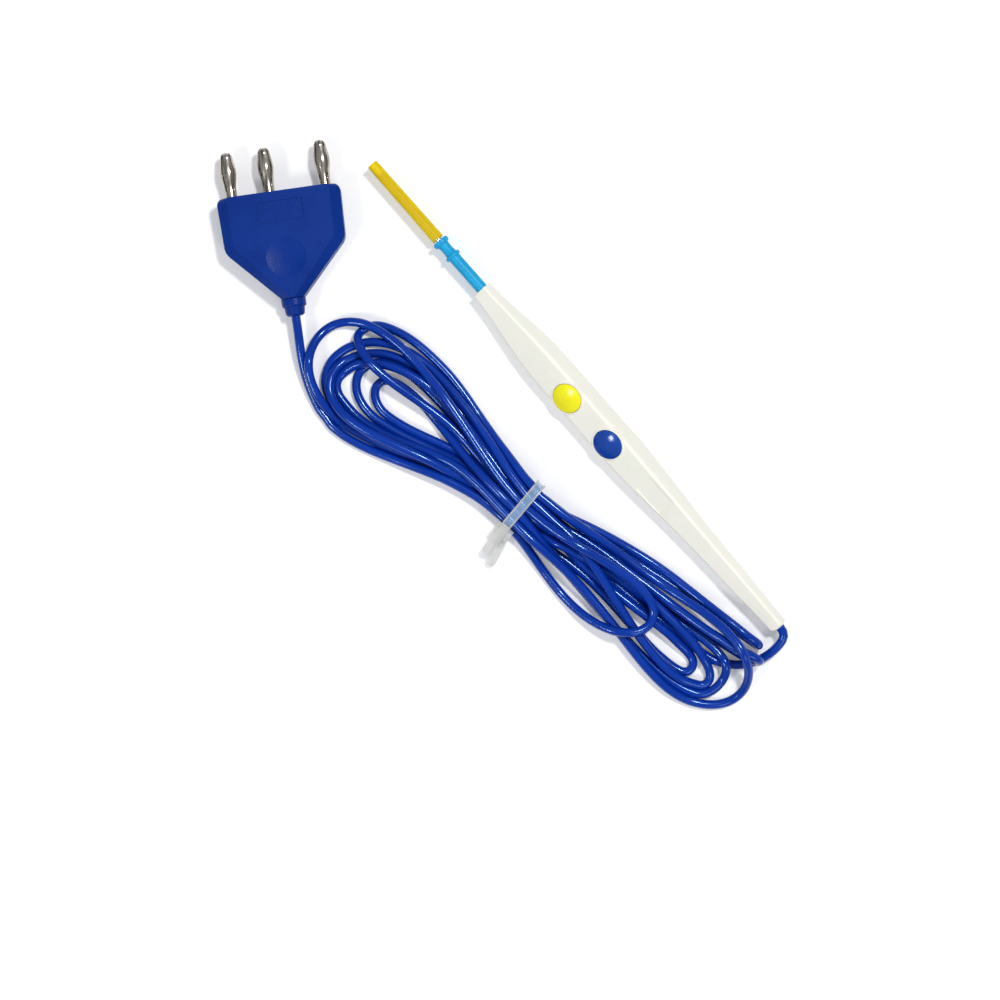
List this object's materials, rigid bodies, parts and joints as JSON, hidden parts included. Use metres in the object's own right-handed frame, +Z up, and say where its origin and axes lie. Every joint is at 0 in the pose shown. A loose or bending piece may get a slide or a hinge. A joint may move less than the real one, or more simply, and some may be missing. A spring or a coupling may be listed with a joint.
{
  "type": "electrosurgical pencil",
  "caption": "Hand-held electrosurgical pencil with push buttons on its strip, a covered blade electrode, and a tied hank of cord that ends in a flat pinned plug.",
  "frame": {"origin": "bottom centre of the pencil's own bounding box, on the surface it lies on; the cord, its tie and plug are not counted", "axes": "+X along the pencil towards the blade's tip, +Z up, +Y towards the tied cord"},
  "size_m": [0.255, 0.0786, 0.0139],
  "materials": {
    "white_shell": "satin moulded",
    "yellow_button": "smooth moulded",
    "blue_button": "smooth moulded",
    "sleeve_blue": "smooth moulded",
    "cover_yellow": "clear tinted extrusion",
    "steel": "fine ground",
    "brass": "drawn",
    "board": "solder mask",
    "dome_steel": "stamped",
    "core_red": "insulation",
    "core_white": "insulation",
    "core_black": "insulation",
    "crimp": "pressed",
    "cord_blue": "glossy flexible jacket",
    "tie_clear": "clear moulded",
    "plug_blue": "satin moulded",
    "pin_nickel": "nickel plated"
  },
  "bodies": {
    "handle": {"top_shell": "white_shell", "bottom_shell": "white_shell", "circuit_board": "board", "cut_dome": "dome_steel", "coag_dome": "dome_steel", "electrode_socket": "brass", "crimp_ring": "crimp", "cord_in_handle": "cord_blue", "active_wire": "core_red", "cut_wire": "core_white", "coag_wire": "core_black", "cord_pencil_tail": "cord_blue", "cord_hank": "cord_blue", "cord_plug_tail": "cord_blue", "cord_tie": "tie_clear", "plug_body": "plug_blue", "pin_core_1": "pin_nickel", "pin_cage_1": "pin_nickel", "pin_core_2": "pin_nickel", "pin_cage_2": "pin_nickel", "pin_core_3": "pin_nickel", "pin_cage_3": "pin_nickel"},
    "cut_button": {"cut_button": "yellow_button"},
    "coag_button": {"coag_button": "blue_button"},
    "electrode": {"blade_electrode": "steel", "electrode_sleeve": "sleeve_blue"},
    "blade_cover": {"blade_cover": "cover_yellow"}
  },
  "joints": [
    {"name": "cut_press", "type": "slide", "parent": "handle", "child": "cut_button", "axis": [0, -0.6018, -0.7986], "range_m": [0, 0.0007], "stiffness_N_per_m": 3000},
    {"name": "coag_press", "type": "slide", "parent": "handle", "child": "coag_button", "axis": [0, -0.6018, -0.7986], "range_m": [0, 0.0007], "stiffness_N_per_m": 3000},
    {"name": "electrode_pull", "type": "slide", "parent": "handle", "child": "electrode", "axis": [1, 0, 0], "range_m": [0, 0.023]},
    {"name": "cover_pull", "type": "slide", "parent": "electrode", "child": "blade_cover", "axis": [1, 0, 0], "range_m": [0, 0.036]}
  ]
}
